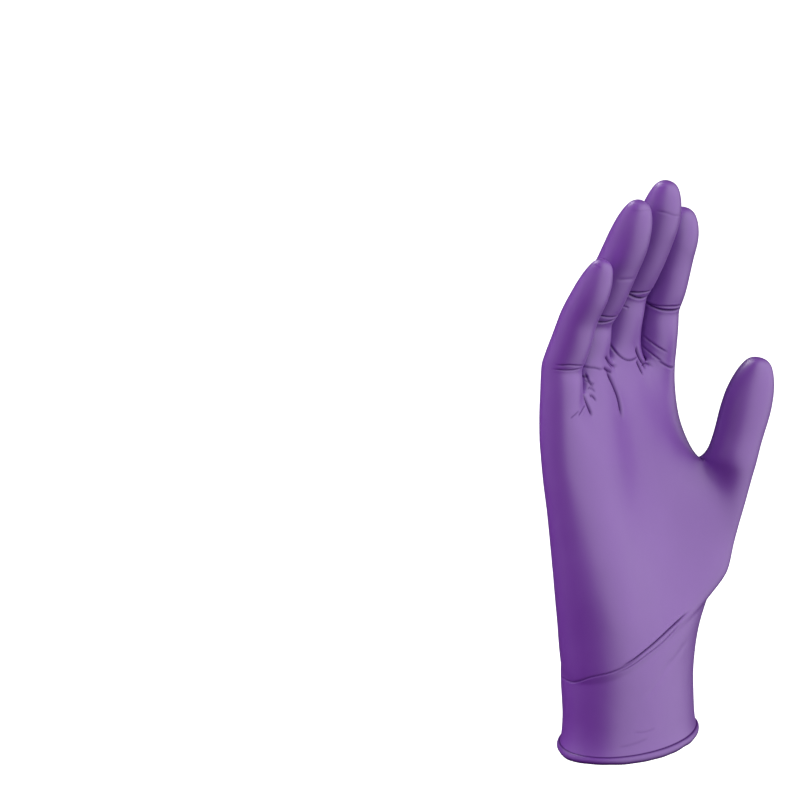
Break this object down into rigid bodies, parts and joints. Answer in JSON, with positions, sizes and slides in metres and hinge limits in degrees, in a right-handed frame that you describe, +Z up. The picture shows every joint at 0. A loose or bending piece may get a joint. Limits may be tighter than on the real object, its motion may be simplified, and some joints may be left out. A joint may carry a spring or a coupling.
{
  "type": "nitrile exam glove",
  "caption": "Thin purple nitrile exam glove in its worn form, hollow, with a rolled bead round the cuff and a slanting fold at the wrist.",
  "frame": {"origin": "middle of the cuff's mouth, where the wrist goes in", "axes": "+Z up the forearm towards the fingertips, +X towards the thumb, the palm faces -Y"},
  "size_m": [0.0995, 0.0615, 0.2341],
  "materials": {
    "nitrile": "smooth, soft sheen, purple"
  },
  "bodies": {
    "root": {"glove_film": "nitrile"}
  },
  "joints": []
}
